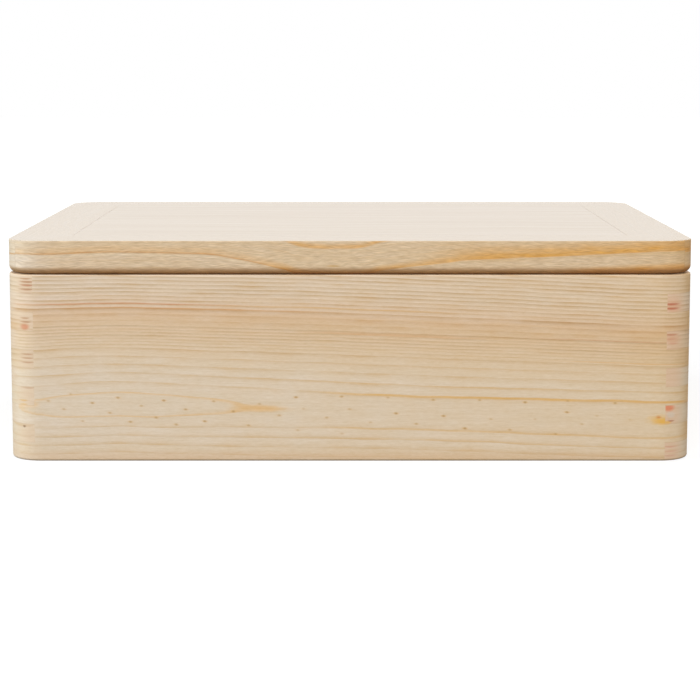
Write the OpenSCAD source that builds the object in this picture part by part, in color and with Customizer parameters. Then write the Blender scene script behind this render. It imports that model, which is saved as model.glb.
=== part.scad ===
// Low pine box with a hinged lid. Four comb-jointed boards stand round a plywood
// bottom. The lid is a mitred frame of four rails round a plywood panel, and it
// turns on two small butt hinges let into the back.
// Millimetres. +X is right, +Y is back and +Z is up. The origin is the middle of
// the box's outline, on the surface that the box stands on.

/* [Box] */
// Width of the box, left to right
box_w = 400; // [360:5:440]
// Depth of the box, front to back
box_d = 300; // [260:5:340]
// Height of the four boards
board_h = 109.5; // [90:0.5:140]
// Thickness of the four boards
board_t = 16; // [15:0.5:18]
// Outer radius of the upright corners
corner_r = 19; // [14:0.5:22]
// Fingers in each corner joint, counting those of both boards
finger_count = 10; // [8:2:14]
// Rounding along the top outer edge of the boards
board_top_r = 1; // [0.5:0.25:1.5]
// Rounding along the bottom outer edge of the boards
board_bottom_r = 1.5; // [0.5:0.25:3]

/* [Bottom] */
// Thickness of the plywood bottom
bottom_t = 4; // [3:0.5:6]
// Gap between the bottom and the surface under the box
bottom_lift = 0.5; // [0.3:0.1:1]
// Width of the ledge under the boards that the bottom bears on
ledge_w = 8; // [6:0.5:9]
// Corner radius of the rebate that takes the bottom
rebate_r = 6; // [4:0.5:8]
// Length of a panel pin
pin_l = 16; // [12:1:20]
// Panel pins along the front, and as many along the back
pins_along_w = 4; // [3:1:6]
// Panel pins along each side
pins_along_d = 3; // [2:1:5]

/* [Lid] */
// Height of the lid's rails
lid_h = 19.4; // [18:0.2:22]
// Gap between the boards and the closed lid
lid_gap = 0.4; // [0.3:0.1:0.6]
// Width of the lid's rails
rail_w = 45; // [38:1:55]
// Rounding along the bottom outer edge of the lid
lid_bottom_r = 4; // [3.5:0.25:5]
// Rounding along the top outer edge of the lid
lid_top_r = 0.5; // [0.25:0.25:1.5]
// Thickness of the plywood panel in the lid
lid_panel_t = 4; // [3:0.5:6]
// Width of the rebate in the rails that carries the panel
lid_ledge_w = 10; // [6:1:14]

/* [Hinges] */
// Distance from the side of the box to the middle of a hinge
hinge_inset = 70; // [50:1:90]
// Distance of the hinge pin's axis in from the back of the box
axis_inset = 1.25; // [1.1:0.05:1.3]
// Length of a hinge along its pin
hinge_l = 34; // [30:1:40]
// Width of one leaf, from the pin's axis to the free edge
leaf_w = 12; // [11:0.5:13]
// Thickness of a leaf
leaf_t = 1; // [0.9:0.1:1.2]
// Radius of the knuckles
knuckle_r = 2.2; // [2.1:0.1:2.4]
// Radius of the hinge pin
hinge_pin_r = 1; // [0.8:0.1:1.1]
// Length of a hinge screw
screw_l = 12; // [10:1:14]

/* [Hidden] */

$fn = 96;
pine = [0.87, 0.77, 0.62];
plywood = [0.92, 0.86, 0.76];
brass = [0.80, 0.66, 0.38];
steel = [0.72, 0.72, 0.73];

// The sides of the box, as quarter turns from the front
FRONT = 0;
RIGHT = 1;
BACK = 2;
LEFT = 3;

spare = 1;            // how far a cut runs past the face that it opens
ease = 0.6;           // chamfer on the inner edges that a hand meets
small_fit = 0.05;     // clearance round pins, screws and the hinge pin
leaf_fit = 0.1;       // clearance round a leaf in its mortise
bottom_fit = 0.3;     // clearance round the bottom in its rebate
lid_panel_fit = 0.15; // clearance round the lid's panel

finger_h = board_h / finger_count;
bottom_top_z = bottom_lift + bottom_t;
lid_z = board_h + lid_gap;
rebate_w = box_w - 2 * (board_t - ledge_w);
rebate_d = box_d - 2 * (board_t - ledge_w);
lid_rebate_w = box_w - 2 * (rail_w - lid_ledge_w);
lid_rebate_d = box_d - 2 * (rail_w - lid_ledge_w);

// Panel pins stand in the middle of the ledge and keep this far from the corners
pin_r = 0.6;
pin_head_r = 1.1;
pin_head_t = 0.5;
pin_point_l = 1.5;
pin_end_space = 45;
pin_inset = board_t - ledge_w / 2;

// The knuckles share the hinge's length in three, with a gap at each meeting
knuckle_l = hinge_l / 3;
knuckle_gap = 0.2;
knuckle_room = 0.4;   // between a knuckle and what turns round it
pin_rivet_r = 1.6;
pin_rivet_t = 0.5;
channel_l = hinge_l + 2 * (pin_rivet_t + knuckle_room);
outer_knuckles = [[-hinge_l / 2, -(knuckle_l + knuckle_gap) / 2],
                  [(knuckle_l + knuckle_gap) / 2, hinge_l / 2]];
middle_knuckle = [[-(knuckle_l - knuckle_gap) / 2, (knuckle_l - knuckle_gap) / 2]];

// Hinge screws: the head fills the countersink, and the thread bites in the wood
screw_head_r = 2.2;
screw_neck_r = 1.1;
screw_root_r = 0.85;
screw_thread_r = 1.25;
screw_pitch = 1.1;
screw_point_l = 2;
screw_slot_w = 0.55;
screw_slot_l = 2.2;
screw_slot_depth = 0.7;
screw_y = -(leaf_w + knuckle_r + knuckle_room) / 2;
screw_x = hinge_l / 2 - 7;

// Length of a side of the box, and the distance of its outer face from the middle
function run(side) = side % 2 == 0 ? box_w : box_d;
function reach(side) = side % 2 == 0 ? box_d / 2 : box_w / 2;
function pins_along(side) = side % 2 == 0 ? pins_along_w : pins_along_d;

// What a quarter round of radius r takes off the corner of a square. The corner
// that it takes off is at the origin, and the square lies on its lower left.
module corner_waste(r) {
    difference() {
        translate([-r, -r])
            square(r + spare);
        translate([-r, -r])
            circle(r);
    }
}

// Section of the band of wood that is corner_r deep inside the outer face
module outer_band(height, bottom_r, top_r) {
    difference() {
        square([corner_r, height]);
        translate([corner_r, height])
            corner_waste(top_r);
        translate([corner_r, 0])
            mirror([0, 1])
                corner_waste(bottom_r);
    }
}

// Outer form of the box or of its lid: a block with rounded upright corners and
// rounded outer edges at the bottom and the top
module outer_form(height, bottom_r, top_r) {
    core_w = box_w - 2 * corner_r;
    core_d = box_d - 2 * corner_r;
    translate([-core_w / 2, -core_d / 2, 0])
        cube([core_w, core_d, height]);
    for (side = [FRONT : LEFT])
        rotate([0, 0, 90 * side])
            translate([0, corner_r - reach(side), 0]) {
                rotate([90, 0, -90])
                    linear_extrude(run(side) - 2 * corner_r, center = true)
                        outer_band(height, bottom_r, top_r);
                translate([run(side) / 2 - corner_r, 0, 0])
                    rotate([0, 0, -90])
                        rotate_extrude(angle = 90)
                            outer_band(height, bottom_r, top_r);
            }
}

// A flat plate with rounded corners, centred, with its underside at z = 0
module rounded_plate(w, d, r, thickness) {
    linear_extrude(thickness)
        difference() {
            square([w, d], center = true);
            for (sx = [-1, 1], sy = [-1, 1])
                translate([sx * w / 2, sy * d / 2])
                    mirror([sx < 0 ? 1 : 0, 0])
                        mirror([0, sy < 0 ? 1 : 0])
                            corner_waste(r);
        }
}

// Section of a board, with its outer face on the left and its inner top edge eased
module board_section() {
    polygon([[0, 0], [board_t, 0], [board_t, board_h - ease], [board_t - ease, board_h],
             [0, board_h]]);
}

// A board in the front's place, with a comb of fingers at each end. Rows count
// down from the top: the right end keeps the even ones and the left end the odd ones.
module comb_board(length, face) {
    plain_l = length - 2 * board_t;
    translate([-plain_l / 2, -face, 0])
        rotate([90, 0, 90])
            linear_extrude(plain_l)
                board_section();
    for (row = [0 : finger_count - 1])
        translate([row % 2 == 0 ? plain_l / 2 : -length / 2, -face,
                   board_h - (row + 1) * finger_h])
            cube([board_t, board_t, finger_h]);
}

// Puts its child at each panel pin under the front board, or what is turned to its place
module at_side_pins(length, face, count) {
    pitch = (length - 2 * pin_end_space) / (count - 1);
    for (i = [0 : count - 1])
        translate([(i - (count - 1) / 2) * pitch, pin_inset - face, 0])
            children();
}

// Puts its child at every panel pin under the box
module at_all_pins() {
    for (side = [FRONT : LEFT])
        rotate([0, 0, 90 * side])
            at_side_pins(run(side), reach(side), pins_along(side))
                children();
}

// Puts its child on the hinge axis: which is -1 for the left hinge and 1 for the right
module at_hinge(which) {
    translate([which * (box_w / 2 - hinge_inset), box_d / 2 - axis_inset,
               board_h + lid_gap / 2])
        children();
}

// Puts its child at each screw of a leaf, on the leaf's flush face
module at_leaf_screws() {
    for (sx = [-1, 1])
        translate([sx * screw_x, screw_y, -lid_gap / 2])
            children();
}

// What the wood below a hinge loses: the leaf's mortise, the channel for the
// knuckles, and the holes that the screws bite in
module hinge_mortise() {
    translate([-hinge_l / 2 - leaf_fit, -leaf_w - leaf_fit, -lid_gap / 2 - leaf_t])
        cube([hinge_l + 2 * leaf_fit, leaf_w + leaf_fit, leaf_t + spare]);
    rotate([0, 90, 0])
        cylinder(h = channel_l, r = knuckle_r + knuckle_room, center = true);
    at_leaf_screws()
        translate([0, 0, -screw_l - spare])
            cylinder(h = screw_l + spare, r = screw_thread_r + small_fit);
}

// One of the four boards of the box
module board(side) {
    color(pine)
        difference() {
            intersection() {
                outer_form(board_h, board_bottom_r, board_top_r);
                rotate([0, 0, 90 * side])
                    comb_board(run(side), reach(side));
            }
            translate([0, 0, -spare])
                rounded_plate(rebate_w, rebate_d, rebate_r, bottom_top_z + spare);
            rotate([0, 0, 90 * side])
                at_side_pins(run(side), reach(side), pins_along(side))
                    cylinder(h = bottom_lift + pin_l, r = pin_r + small_fit);
            if (side == BACK)
                for (which = [-1, 1])
                    at_hinge(which)
                        hinge_mortise();
        }
}

// The plywood bottom, with a hole and a seat for the head of each panel pin
module bottom_panel() {
    color(plywood)
        translate([0, 0, bottom_lift])
            difference() {
                rounded_plate(rebate_w - 2 * bottom_fit, rebate_d - 2 * bottom_fit,
                              rebate_r - bottom_fit, bottom_t);
                at_all_pins() {
                    translate([0, 0, -spare])
                        cylinder(h = bottom_t + 2 * spare, r = pin_r + small_fit);
                    translate([0, 0, -spare])
                        cylinder(h = pin_head_t + spare, r = pin_head_r + small_fit);
                }
            }
}

// The panel pins that hold the bottom, driven up into the boards
module bottom_panel_pins() {
    color(steel)
        translate([0, 0, bottom_lift])
            at_all_pins()
                rotate_extrude()
                    polygon([[0, 0], [pin_head_r, 0], [pin_head_r, pin_head_t],
                             [pin_r, pin_head_t], [pin_r, pin_l - pin_point_l], [0, pin_l]]);
}

// Section of a rail, with its outer face on the left: the panel's rebate is cut in
// the top, and the inner bottom edge is eased
module rail_section() {
    rebate_z = lid_h - lid_panel_t;
    polygon([[0, 0], [rail_w - ease, 0], [rail_w, ease], [rail_w, rebate_z],
             [rail_w - lid_ledge_w, rebate_z], [rail_w - lid_ledge_w, lid_h], [0, lid_h]]);
}

// One of the lid's four rails, mitred at both ends
module lid_rail(side) {
    half = run(side) / 2;
    face = reach(side);
    color(pine)
        difference() {
            translate([0, 0, lid_z])
                intersection() {
                    outer_form(lid_h, lid_bottom_r, lid_top_r);
                    rotate([0, 0, 90 * side])
                        translate([-half, -face, 0])
                            rotate([90, 0, 90])
                                linear_extrude(2 * half)
                                    rail_section();
                    rotate([0, 0, 90 * side])
                        linear_extrude(lid_h)
                            polygon([[-half, -face], [half, -face],
                                     [half - rail_w, rail_w - face],
                                     [rail_w - half, rail_w - face]]);
                }
            if (side == BACK)
                for (which = [-1, 1])
                    at_hinge(which)
                        mirror([0, 0, 1])
                            hinge_mortise();
        }
}

// The plywood panel that lies flush in the top of the rails
module lid_panel() {
    w = lid_rebate_w - 2 * lid_panel_fit;
    d = lid_rebate_d - 2 * lid_panel_fit;
    color(plywood)
        translate([-w / 2, -d / 2, lid_z + lid_h - lid_panel_t])
            cube([w, d, lid_panel_t]);
}

// A leaf below the hinge axis: a countersunk plate let into the wood, and the
// knuckles that it wraps round the pin. Each knuckle is a [start, end] along X.
module leaf(knuckles) {
    plate_edge = knuckle_r + knuckle_room;
    color(brass)
        difference() {
            union() {
                translate([-hinge_l / 2, -leaf_w, -lid_gap / 2 - leaf_t])
                    cube([hinge_l, leaf_w - plate_edge, leaf_t]);
                for (knuckle = knuckles) {
                    translate([knuckle[0], 0, 0])
                        rotate([0, 90, 0])
                            cylinder(h = knuckle[1] - knuckle[0], r = knuckle_r);
                    translate([knuckle[0], -plate_edge - spare, -lid_gap / 2 - leaf_t])
                        cube([knuckle[1] - knuckle[0], plate_edge + spare, leaf_t]);
                }
            }
            rotate([0, 90, 0])
                cylinder(h = channel_l, r = hinge_pin_r + small_fit, center = true);
            at_leaf_screws()
                translate([0, 0, -leaf_t])
                    cylinder(h = leaf_t, r1 = screw_neck_r + small_fit,
                             r2 = screw_head_r + small_fit);
        }
}

// The hinge pin, with a riveted head at each end
module hinge_pin() {
    color(brass)
        rotate([0, 90, 0]) {
            cylinder(h = hinge_l, r = hinge_pin_r, center = true);
            for (end = [-1, 1])
                mirror([0, 0, end < 0 ? 1 : 0])
                    translate([0, 0, hinge_l / 2])
                        cylinder(h = pin_rivet_t, r1 = pin_rivet_r, r2 = hinge_pin_r);
        }
}

// Outline of half a screw, from the top of its head down to its point
function screw_outline() = concat(
    [[0, 0], [screw_head_r, 0], [screw_neck_r, -leaf_t]],
    [for (z = [-leaf_t - screw_pitch : -screw_pitch : screw_point_l - screw_l])
        for (flank = [[screw_root_r, 0], [screw_thread_r, -0.3], [screw_root_r, -0.6]])
            [flank[0], z + flank[1] * screw_pitch]],
    [[0, -screw_l]]);

// The two cross-slotted screws of the leaf below the hinge axis
module leaf_screws() {
    color(steel)
        at_leaf_screws()
            difference() {
                rotate_extrude()
                    polygon(screw_outline());
                for (turn = [0, 90])
                    rotate([0, 0, turn])
                        translate([-screw_slot_l / 2, -screw_slot_w / 2, -screw_slot_depth])
                            cube([screw_slot_l, screw_slot_w, screw_slot_depth + spare]);
            }
}

board(FRONT);  // front_board
board(RIGHT);  // right_side_board
board(BACK);  // back_board
board(LEFT);  // left_side_board
bottom_panel();
bottom_panel_pins();
lid_rail(FRONT);  // lid_front_rail
lid_rail(RIGHT);  // lid_right_rail
lid_rail(BACK);  // lid_back_rail
lid_rail(LEFT);  // lid_left_rail
lid_panel();
at_hinge(-1) leaf(outer_knuckles);  // left_hinge_box_leaf
at_hinge(-1) mirror([0, 0, 1]) leaf(middle_knuckle);  // left_hinge_lid_leaf
at_hinge(-1) hinge_pin();  // left_hinge_pin
at_hinge(-1) leaf_screws();  // left_hinge_box_screws
at_hinge(-1) mirror([0, 0, 1]) leaf_screws();  // left_hinge_lid_screws
at_hinge(1) leaf(outer_knuckles);  // right_hinge_box_leaf
at_hinge(1) mirror([0, 0, 1]) leaf(middle_knuckle);  // right_hinge_lid_leaf
at_hinge(1) hinge_pin();  // right_hinge_pin
at_hinge(1) leaf_screws();  // right_hinge_box_screws
at_hinge(1) mirror([0, 0, 1]) leaf_screws();  // right_hinge_lid_screws
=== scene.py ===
"""Looks of a low pine box with a hinged lid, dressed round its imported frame.

The boards, rails, panels and hinges keep the shapes that the frame brings. This
script gives each one its finish, and sets up the floor, the lamps and the camera.
Lengths inside a finish are in millimetres along three axes of the piece: u runs
along the fibres from left to right as seen from outside, v runs from the outer
face inwards, and w runs upwards from the piece's underside.
"""

import logging
import math
from dataclasses import dataclass, replace
from enum import Enum
from typing import Sequence, TypeAlias

import bmesh
import bpy
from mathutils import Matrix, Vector

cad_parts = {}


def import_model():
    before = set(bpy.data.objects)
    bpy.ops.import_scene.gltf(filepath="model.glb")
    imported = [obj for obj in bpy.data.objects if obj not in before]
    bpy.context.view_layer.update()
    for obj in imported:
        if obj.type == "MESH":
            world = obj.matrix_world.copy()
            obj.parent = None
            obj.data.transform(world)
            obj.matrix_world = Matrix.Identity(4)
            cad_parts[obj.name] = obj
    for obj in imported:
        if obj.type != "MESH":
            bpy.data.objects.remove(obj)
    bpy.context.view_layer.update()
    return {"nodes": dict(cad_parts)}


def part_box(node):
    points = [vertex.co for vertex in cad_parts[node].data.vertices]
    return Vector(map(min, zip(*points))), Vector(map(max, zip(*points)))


log = logging.getLogger("toy_box")

MM = 0.001
CORNER_RADIUS = 19.0
LAMP_TARGET = (0.0, 0.0, 0.06)

Colour = tuple[float, float, float]
Points = Sequence[tuple[float, float]]
ColourStops = Sequence[tuple[float, int, int, int]]
Value: TypeAlias = "Wire | float"


def srgb(red: int, green: int, blue: int) -> Colour:
    """Turns a colour as a screen shows it into the linear colour that a shader takes.

    Args:
        red: The red level, from 0 to 255.
        green: The green level, from 0 to 255.
        blue: The blue level, from 0 to 255.

    Returns:
        The linear red, green and blue, from 0 to 1.
    """
    def linear(level: int) -> float:
        """Undoes the screen's curve for one level."""
        share = level / 255
        return share / 12.92 if share <= 0.04045 else ((share + 0.055) / 1.055) ** 2.4
    return linear(red), linear(green), linear(blue)


class Side(Enum):
    """Where a board or rail stands, in quarter turns from the front."""

    FRONT = 0
    RIGHT = 1
    BACK = 2
    LEFT = 3

    @property
    def runs_along_width(self) -> bool:
        """Whether the piece lies along the box's width."""
        return self in (Side.FRONT, Side.BACK)


@dataclass(frozen=True)
class Wire:
    """One value in a node tree, which ordinary arithmetic extends.

    Fields give the tree that builds further nodes, and the output that carries
    the value.
    """

    tree: "NodeTree"
    socket: bpy.types.NodeSocket

    def __add__(self, other: Value) -> "Wire":
        """Adds."""
        return self.tree.math("ADD", self, other)

    __radd__ = __add__

    def __sub__(self, other: Value) -> "Wire":
        """Subtracts."""
        return self.tree.math("SUBTRACT", self, other)

    def __rsub__(self, other: float) -> "Wire":
        """Subtracts this value from a number."""
        return self.tree.math("SUBTRACT", other, self)

    def __mul__(self, other: Value) -> "Wire":
        """Multiplies."""
        return self.tree.math("MULTIPLY", self, other)

    def __truediv__(self, other: Value) -> "Wire":
        """Divides."""
        return self.tree.math("DIVIDE", self, other)

    def root(self) -> "Wire":
        """Square root."""
        return self.tree.math("SQRT", self)

    def hypot(self, other: "Wire") -> "Wire":
        """Length of the slope whose run and rise are the two values."""
        return (self * self + other * other).root()

    def size(self) -> "Wire":
        """Value without its sign."""
        return self.tree.math("ABSOLUTE", self)

    def whole(self) -> "Wire":
        """Whole number at or below the value."""
        return self.tree.math("FLOOR", self)

    def part(self) -> "Wire":
        """What is left above the whole number."""
        return self.tree.math("FRACT", self)

    def above(self, limit: Value) -> "Wire":
        """1 where the value is over a limit, and 0 elsewhere."""
        return self.tree.math("GREATER_THAN", self, limit)

    def clamped(self) -> "Wire":
        """Value held between 0 and 1."""
        return self.tree.math("MINIMUM", self.tree.math("MAXIMUM", self, 0.0), 1.0)

    def ease(self, start: float, end: float) -> "Wire":
        """Rises smoothly from 0 at one value to 1 at another.

        Args:
            start: The value at which the result is 0.
            end: The value at which the result is 1. It may be below start.

        Returns:
            The eased value.
        """
        falls = float(end < start)
        node = self.tree.add("MapRange", Value=self, From_Min=min(start, end),
                             From_Max=max(start, end), To_Min=falls, To_Max=1.0 - falls)
        node.interpolation_type = "SMOOTHSTEP"
        return Wire(self.tree, node.outputs["Result"])

    def hump(self, middle: float, below: float, above: float) -> "Wire":
        """Rises to 1 at a middle value and falls smoothly to 0 on both sides.

        Args:
            middle: The value at which the result is 1.
            below: How far below the middle the result reaches 0.
            above: How far above the middle the result reaches 0.

        Returns:
            The hump.
        """
        return self.ease(middle - below, middle) * self.ease(middle + above, middle)


class NodeTree:
    """Builds the nodes of a material or of the surroundings."""

    def __init__(self, owner: bpy.types.Material | bpy.types.World) -> None:
        """Empties the owner's nodes.

        Args:
            owner: The material or world that the nodes belong to.
        """
        owner.use_nodes = True
        self.owner = owner
        self.nodes = owner.node_tree.nodes
        self.links = owner.node_tree.links
        self.nodes.clear()

    def add(self, kind: str, **inputs: "Wire | float | Colour") -> bpy.types.Node:
        """Adds a shader node.

        Args:
            kind: The node's kind.
            inputs: What its inputs take. An underscore in a name stands for a space.

        Returns:
            The node.
        """
        node = self.nodes.new(f"ShaderNode{kind}")
        for name, value in inputs.items():
            self.feed(node.inputs[name.replace("_", " ")], value)
        return node

    def feed(self, socket: bpy.types.NodeSocket, value: "Wire | float | Colour") -> None:
        """Connects a wire to a socket, or sets the socket's own number or colour.

        Args:
            socket: The input to feed.
            value: A wire, a number, or a linear colour or other numbers in a tuple.
        """
        if isinstance(value, Wire):
            self.links.new(value.socket, socket)
        elif isinstance(value, tuple) and len(socket.default_value) == 4:
            socket.default_value = (*value, 1.0)
        else:
            socket.default_value = value

    def math(self, operation: str, *values: Value) -> Wire:
        """Adds a Math node.

        Args:
            operation: The node's operation.
            values: What goes in, in order.

        Returns:
            The result.
        """
        node = self.add("Math")
        node.operation = operation
        for socket, value in zip(node.inputs, values):
            self.feed(socket, value)
        return Wire(self, node.outputs[0])

    def coordinates(self, kind: str) -> Wire:
        """Reads the place (Object) or the direction (Normal) of the surface."""
        return Wire(self, self.add("TexCoord").outputs[kind])

    def ray(self, kind: str) -> Wire:
        """1 for light rays of a kind, and 0 for others."""
        return Wire(self, self.add("LightPath").outputs[f"Is {kind} Ray"])

    def vector(self, x: Value, y: Value, z: Value) -> Wire:
        """Joins three values into a vector."""
        return Wire(self, self.add("CombineXYZ", X=x, Y=y, Z=z).outputs[0])

    def split(self, vector: Wire) -> tuple[Wire, Wire, Wire]:
        """Splits a vector into its three values."""
        node = self.add("SeparateXYZ", Vector=vector)
        return tuple(Wire(self, output) for output in node.outputs)

    def noise(self, x: Value, y: Value, z: Value, detail: float = 2.0,
              roughness: float = 0.5) -> Wire:
        """Smooth noise about 0, mostly between -0.5 and 0.5.

        Args:
            x: Where to read it. The noise changes over about one unit.
            y: The second coordinate.
            z: The third coordinate.
            detail: How many finer layers are added.
            roughness: How strong the finer layers are.

        Returns:
            The noise.
        """
        node = self.add("TexNoise", Vector=self.vector(x, y, z), Scale=1.0, Detail=detail,
                        Roughness=roughness)
        return Wire(self, node.outputs["Fac"]) - 0.5

    def chance(self, x: Value, y: Value, z: Value) -> Wire:
        """An even random value from 0 to 1 for each three numbers."""
        node = self.add("TexWhiteNoise", Vector=self.vector(x, y, z))
        return Wire(self, node.outputs["Value"])

    def curve(self, value: Wire, points: Points, smooth: bool = True) -> Wire:
        """Follows a curve through a few points, level beyond its ends.

        Args:
            value: Where to read the curve.
            points: The points, as pairs of value and result.
            smooth: Whether the curve bends softly through its points.

        Returns:
            The result at the value.
        """
        first, last = points[0][0], points[-1][0]
        low = min(result for _, result in points)
        high = max(result for _, result in points)
        node = self.add("FloatCurve")
        line = node.mapping.curves[0]
        while len(line.points) < len(points):
            line.points.new(0.5, 0.5)
        for target, (place, result) in zip(line.points, points):
            target.location = ((place - first) / (last - first), (result - low) / (high - low))
            target.handle_type = "AUTO" if smooth else "VECTOR"
        node.mapping.update()
        self.feed(node.inputs["Value"], ((value - first) / (last - first)).clamped())
        return Wire(self, node.outputs["Value"]) * (high - low) + low

    def ramp(self, value: Wire, stops: ColourStops) -> Wire:
        """Blends through a row of colours.

        Args:
            value: Where to read the row.
            stops: The values at which colours stand, each with the levels of its
                red, green and blue as a screen shows them.

        Returns:
            The colour at the value.
        """
        first, last = stops[0][0], stops[-1][0]
        node = self.add("ValToRGB", Fac=(value - first) / (last - first))
        elements = node.color_ramp.elements
        while len(elements) < len(stops):
            elements.new(0.5)
        for element, (place, *levels) in zip(elements, stops):
            element.position = (place - first) / (last - first)
            element.color = (*srgb(*levels), 1.0)
        return Wire(self, node.outputs["Color"])

    def mix(self, share: Value, first: "Wire | Colour", second: "Wire | Colour",
            blend: str = "MIX") -> Wire:
        """Mixes two colours.

        Args:
            share: How much of the second colour shows.
            first: The colour at share 0.
            second: The colour at share 1.
            blend: How the second colour is laid over the first.

        Returns:
            The mixed colour.
        """
        node = self.add("Mix")
        node.data_type = "RGBA"
        node.blend_type = blend
        self.feed(node.inputs["Factor"], share)
        self.feed(node.inputs[6], first)
        self.feed(node.inputs[7], second)
        return Wire(self, node.outputs[2])

    def tone(self, colour: Wire, amount: Wire, tint: Colour) -> Wire:
        """Makes a colour paler or deeper by an amount.

        Args:
            colour: The colour to change.
            amount: How much, as a share of the light. Below 0 deepens the colour.
            tint: The part of the amount that red, green and blue take.

        Returns:
            The changed colour.
        """
        red, green, blue = (amount * part + 1.0 for part in tint)
        return self.mix(1.0, colour, self.vector(red, green, blue), "MULTIPLY")

    def surface(self, colour: "Wire | Colour", roughness: Value, relief: Wire,
                relief_depth: float, metallic: float = 0.0,
                specular: float = 0.5) -> bpy.types.Material:
        """Finishes the material with a surface shader.

        Args:
            colour: The base colour.
            roughness: How dull the surface is.
            relief: The height of the fine relief, about 0 to 1.
            relief_depth: How deep a relief of 1 is, in millimetres.
            metallic: 1 for bare metal.
            specular: How strongly it mirrors, where 0.5 is the usual level.

        Returns:
            The finished material.
        """
        bump = self.add("Bump", Strength=1.0, Distance=relief_depth * MM, Height=relief)
        shader = self.add("BsdfPrincipled", Base_Color=colour, Roughness=roughness,
                          Metallic=metallic, Specular_IOR_Level=specular,
                          Normal=Wire(self, bump.outputs["Normal"]))
        self.add("OutputMaterial", Surface=Wire(self, shader.outputs["BSDF"]))
        return self.owner


@dataclass(frozen=True)
class Stock:
    """One board or rail: its side, and its place and size in millimetres.

    Fields give the side of the box that it stands on, the distance of its outer
    face from the box's middle, the height of its underside, its length, the
    thickness of its fingers and their height. A rail has no fingers, so both are 0.
    """

    side: Side
    reach: float
    base: float
    length: float
    thickness: float = 0.0
    finger: float = 0.0

    @staticmethod
    def of(name: str, side: Side, fingers: int = 0) -> "Stock":
        """Reads a board or rail from the frame.

        Args:
            name: The piece's node.
            side: The side of the box that it stands on.
            fingers: How many finger heights its own height holds.

        Returns:
            The piece's place and size. A rail's length is the one before its
            mitred ends are rounded off.
        """
        low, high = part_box(name)
        size = (high - low) / MM
        if side.runs_along_width:
            reach, length, thickness = max(abs(low.y), abs(high.y)), size.x, size.y
        else:
            reach, length, thickness = max(abs(low.x), abs(high.x)), size.y, size.x
        if not fingers:
            cut_off = CORNER_RADIUS * (1 - math.sqrt(0.5))
            return Stock(side, reach / MM, low.z / MM, length + 2 * cut_off)
        return Stock(side, reach / MM, low.z / MM, length, thickness, size.z / fingers)


# How far the surface's direction must lie along the fibres, and upwards, for end
# grain and for the top to set in and to be full.
END_FACING = (0.6, 0.97)
TOP_FACING = (0.6, 0.9)


@dataclass(frozen=True)
class Place:
    """The axes u, v and w of a piece, and how its surface faces.

    Fields give the three axes, the depth below the outer face and its rounded
    corners, how far the surface faces along the fibres, and how far it faces up.
    """

    u: Wire
    v: Wire
    w: Wire
    depth: Wire
    end_grain: Wire
    top: Wire

    @staticmethod
    def on(tree: NodeTree, stock: Stock) -> "Place":
        """Reads the axes of a board or rail.

        Args:
            tree: The material's node tree.
            stock: The piece's place and size.

        Returns:
            The axes.
        """
        turned = []
        for kind, scale, offset in (("Object", 1 / MM, (0, stock.reach, -stock.base)),
                                    ("Normal", 1.0, (0, 0, 0))):
            node = tree.add("Mapping", Vector=tree.coordinates(kind), Location=offset,
                            Rotation=(0.0, 0.0, -stock.side.value * math.pi / 2),
                            Scale=(scale, scale, scale))
            turned.append(Wire(tree, node.outputs["Vector"]))
        u, v, w = tree.split(turned[0])
        along, _, up = tree.split(turned[1])
        past = tree.math("MAXIMUM", u.size() - (stock.length / 2 - CORNER_RADIUS), 0.0)
        inside = tree.math("MAXIMUM", CORNER_RADIUS ** 2 - past * past, 0.0).root()
        depth = v - (CORNER_RADIUS - inside)
        return Place(u, v, w, depth, along.size().ease(*END_FACING), up.ease(*TOP_FACING))


# Height over the heart at which the rings bow in full, height at which they sag
# least, how much of the sag is held back there, and the stretch where it sets in.
BOW_RISE = 70.0
SAG_RISE = 90.0
SAG_HELD = 0.8
SAG_STRETCH = (-130.0, -200.0)

# Depth from which a rail's rings climb faster, and how much faster.
INNER_DEPTH = 5.0
INNER_TILT = 0.42


@dataclass(frozen=True)
class HeartFigure:
    """Rings round a heart that lies behind the outer face of a board.

    Fields give the heart's height in the middle of the board, how fast that height
    changes along it, how far behind the outer face it lies at points along the
    board, how far the rings bow upwards in the middle, and how far the heart sinks
    towards the left end.
    """

    height: float
    slope: float
    depth: Points
    bow: float
    bow_length: float = 400.0
    wander: float = 0.5
    sag: float = 0.0

    def distance(self, tree: NodeTree, place: Place, seed: float) -> Wire:
        """Measures the distance from the heart, with the wood's slow bends.

        Args:
            tree: The material's node tree.
            place: The board's axes.
            seed: The board's seed.

        Returns:
            The distance in millimetres.
        """
        rise = place.w - (place.u * self.slope + self.height)
        wave = tree.math("COSINE", place.u * (2 * math.pi / self.bow_length))
        rise = rise - wave * (rise / BOW_RISE).clamped() * self.bow
        if self.sag:
            held = (rise / SAG_RISE).clamped() * SAG_HELD
            rise = rise + place.u.ease(*SAG_STRETCH) * (1.0 - held) * self.sag
        back = tree.curve(place.u, self.depth) - place.depth
        plain = rise.hypot(back)
        bends = tree.noise(place.u / 36.0 + seed, place.depth / 14.0, place.w / 16.0, detail=1.0)
        return plain + bends * (2 * self.wander)


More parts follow.
